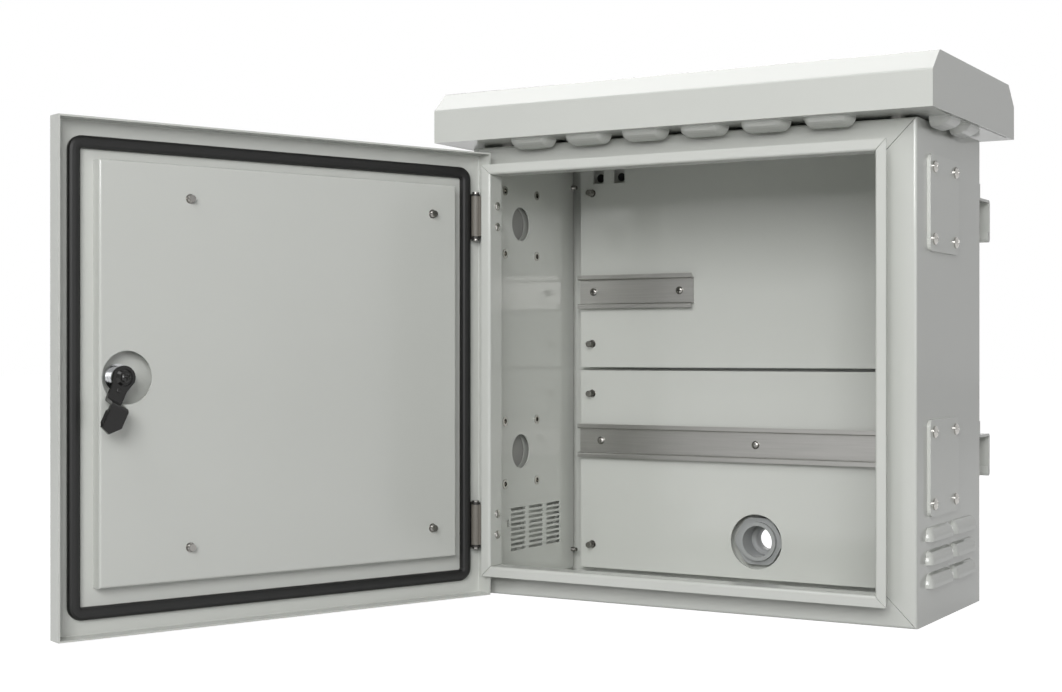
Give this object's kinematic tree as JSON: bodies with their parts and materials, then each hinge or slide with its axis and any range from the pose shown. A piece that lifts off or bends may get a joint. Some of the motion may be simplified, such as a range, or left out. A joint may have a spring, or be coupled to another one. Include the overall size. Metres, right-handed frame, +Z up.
{
  "type": "utility cabinet",
  "caption": "Wall-hung roadside utility cabinet of folded sheet: vented roof hood, louvred sides, inner mounting plates with top-hat rails, and a gasketed door standing open with its cam lock.",
  "frame": {"origin": "middle of the flat underside, half way between the front flange and the back wall", "axes": "+X to the right seen from the front, +Y from the door side to the wall side, +Z up"},
  "size_m": [0.6105, 0.6497, 0.486],
  "materials": {
    "paint": "light grey powder coat, semi-gloss",
    "cover_paint": "light grey powder coat, semi-gloss",
    "rail_steel": "zinc plated",
    "fastener_steel": "plated, bright",
    "black_rubber": "smooth",
    "black_plastic": "matt",
    "grey_plastic": "satin moulding",
    "hinge_metal": "dark coated",
    "lock_chrome": "polished",
    "dark_steel": "black nickel"
  },
  "bodies": {
    "cabinet": {"left_side_panel": "paint", "right_side_panel": "paint", "top_panel": "paint", "bottom_panel": "paint", "back_panel": "paint", "left_lining": "paint", "right_lining": "paint", "rivet_nuts": "fastener_steel", "lining_studs": "fastener_steel", "left_upper_cover": "cover_paint", "left_lower_cover": "cover_paint", "right_upper_cover": "cover_paint", "right_lower_cover": "cover_paint", "cover_screws": "fastener_steel", "upper_plate": "paint", "lower_plate": "paint", "plate_studs": "fastener_steel", "upper_rail": "rail_steel", "lower_rail": "rail_steel", "rail_screws": "fastener_steel", "back_plugs": "black_plastic", "gland_body": "grey_plastic", "gland_locknut": "grey_plastic", "gland_seal": "black_rubber", "upper_bracket": "paint", "lower_bracket": "paint", "bracket_bolts": "fastener_steel", "bracket_nuts": "fastener_steel", "roof_hood": "paint", "roof_soffit": "paint", "roof_spacers": "fastener_steel", "roof_bolts": "fastener_steel", "roof_nuts": "fastener_steel", "hinge_body_leaves": "hinge_metal", "hinge_pins": "fastener_steel", "hinge_screws": "fastener_steel"},
    "door": {"door_panel": "paint", "door_gasket": "black_rubber", "door_tray": "paint", "door_studs": "fastener_steel", "hinge_door_leaves": "hinge_metal", "lock_housing": "lock_chrome", "lock_nut": "lock_chrome"},
    "lock": {"lock_plug": "dark_steel", "lock_cam": "dark_steel", "cam_screw": "fastener_steel"}
  },
  "joints": [
    {"name": "door_swing", "type": "hinge", "parent": "cabinet", "child": "door", "pos_m": [-0.207, -0.118, 0.217], "axis": [0, 0, 1], "range_deg": [-4, 111]},
    {"name": "lock_turn", "type": "hinge", "parent": "door", "child": "lock", "pos_m": [-0.3444, -0.45837, 0.21375], "axis": [0.9336, -0.3584, 0], "range_deg": [-65, 25]}
  ]
}
